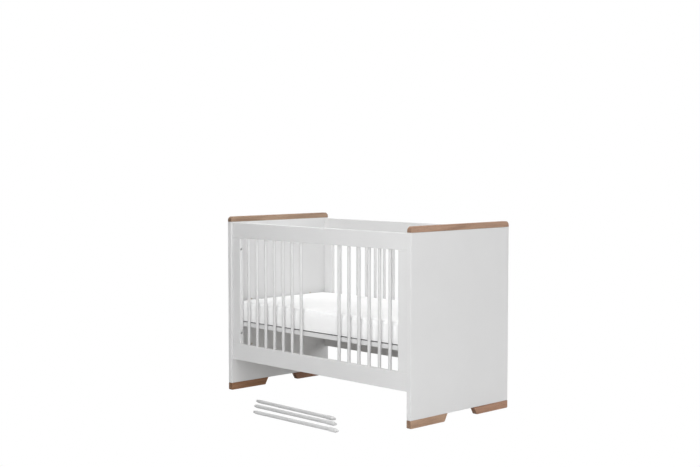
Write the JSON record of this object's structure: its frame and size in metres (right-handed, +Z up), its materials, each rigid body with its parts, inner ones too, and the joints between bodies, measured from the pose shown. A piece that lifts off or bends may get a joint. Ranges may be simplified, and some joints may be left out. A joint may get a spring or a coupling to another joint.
{
  "type": "baby crib",
  "caption": "White lacquered baby crib with solid board ends, wooden caps and feet, barred sides, loose sprung bars on the floor, a height-adjustable slatted base and a mattress.",
  "frame": {"origin": "on the floor, under the centre of the footprint of the crib and its three loose bars", "axes": "+Z up, +X along the length towards the right end seen from the front, -Y out of the front"},
  "size_m": [1.255, 0.9492, 0.872],
  "materials": {
    "white_lacquer": "smooth satin white lacquer on board and beech",
    "oiled_oak": "oak with fine open grain, matt oil",
    "beech_laths": "planed beech, unfinished",
    "mattress_cover": "white knitted cotton cover, matt",
    "white_plastic": "moulded white plastic, satin",
    "spring_steel": "bright drawn spring wire"
  },
  "bodies": {
    "cot_frame": {"front_bar_01": "white_lacquer", "front_bar_02": "white_lacquer", "front_bar_03": "white_lacquer", "front_bar_04": "white_lacquer", "front_bar_05": "white_lacquer", "front_bar_06": "white_lacquer", "front_bar_07": "white_lacquer", "front_bar_11": "white_lacquer", "front_bar_12": "white_lacquer", "front_bar_13": "white_lacquer", "front_bar_14": "white_lacquer", "front_bar_15": "white_lacquer", "front_bar_16": "white_lacquer", "front_bottom_rail": "white_lacquer", "front_left_stile": "white_lacquer", "front_right_stile": "white_lacquer", "front_top_rail": "white_lacquer", "left_end_cap": "oiled_oak", "left_end_panel": "white_lacquer", "left_front_foot": "oiled_oak", "left_rear_foot": "oiled_oak", "rear_bar_01": "white_lacquer", "rear_bar_02": "white_lacquer", "rear_bar_03": "white_lacquer", "rear_bar_04": "white_lacquer", "rear_bar_05": "white_lacquer", "rear_bar_06": "white_lacquer", "rear_bar_07": "white_lacquer", "rear_bar_08": "white_lacquer", "rear_bar_09": "white_lacquer", "rear_bar_10": "white_lacquer", "rear_bar_11": "white_lacquer", "rear_bar_12": "white_lacquer", "rear_bar_13": "white_lacquer", "rear_bar_14": "white_lacquer", "rear_bar_15": "white_lacquer", "rear_bar_16": "white_lacquer", "rear_bottom_rail": "white_lacquer", "rear_left_stile": "white_lacquer", "rear_right_stile": "white_lacquer", "rear_top_rail": "white_lacquer", "right_end_cap": "oiled_oak", "right_end_panel": "white_lacquer", "right_front_foot": "oiled_oak", "right_rear_foot": "oiled_oak"},
    "loose_bar_rear_rod": {"loose_bar_rear": "white_lacquer", "loose_bar_rear_spring": "spring_steel"},
    "loose_bar_rear_plunger": {"loose_bar_rear_sleeve": "white_plastic"},
    "loose_bar_middle_rod": {"loose_bar_middle": "white_lacquer", "loose_bar_middle_spring": "spring_steel"},
    "loose_bar_middle_plunger": {"loose_bar_middle_sleeve": "white_plastic"},
    "loose_bar_front_rod": {"loose_bar_front": "white_lacquer", "loose_bar_front_spring": "spring_steel"},
    "loose_bar_front_plunger": {"loose_bar_front_sleeve": "white_plastic"},
    "mattress_base": {"base_front_rail": "white_lacquer", "base_lath_deck": "beech_laths", "base_left_end_rail": "white_lacquer", "base_rear_rail": "white_lacquer", "base_right_end_rail": "white_lacquer"},
    "mattress_on_base": {"mattress": "mattress_cover"}
  },
  "joints": [
    {"name": "base_height", "type": "slide", "parent": "cot_frame", "child": "mattress_base", "axis": [0, 0, 1], "range_m": [-0.115, 0.115]},
    {"name": "mattress_lift", "type": "slide", "parent": "mattress_base", "child": "mattress_on_base", "axis": [0, 0, 1], "range_m": [0, 0.52]},
    {"name": "loose_bar_rear_lift", "type": "slide", "parent": "cot_frame", "child": "loose_bar_rear_rod", "axis": [0, 0, 1], "range_m": [0, 0.25]},
    {"name": "loose_bar_rear_press", "type": "slide", "parent": "loose_bar_rear_rod", "child": "loose_bar_rear_plunger", "axis": [-0.9999, 0.0105, 0], "range_m": [0, 0.012], "stiffness_N_per_m": 700, "springref_m": -0.008, "deforming": ["loose_bar_rear_spring"]},
    {"name": "loose_bar_middle_lift", "type": "slide", "parent": "cot_frame", "child": "loose_bar_middle_rod", "axis": [0, 0, 1], "range_m": [0, 0.25]},
    {"name": "loose_bar_middle_press", "type": "slide", "parent": "loose_bar_middle_rod", "child": "loose_bar_middle_plunger", "axis": [-1, -0.0035, 0], "range_m": [0, 0.012], "stiffness_N_per_m": 700, "springref_m": -0.008, "deforming": ["loose_bar_middle_spring"]},
    {"name": "loose_bar_front_lift", "type": "slide", "parent": "cot_frame", "child": "loose_bar_front_rod", "axis": [0, 0, 1], "range_m": [0, 0.25]},
    {"name": "loose_bar_front_press", "type": "slide", "parent": "loose_bar_front_rod", "child": "loose_bar_front_plunger", "axis": [-0.9999, -0.0122, 0], "range_m": [0, 0.012], "stiffness_N_per_m": 700, "springref_m": -0.008, "deforming": ["loose_bar_front_spring"]}
  ]
}
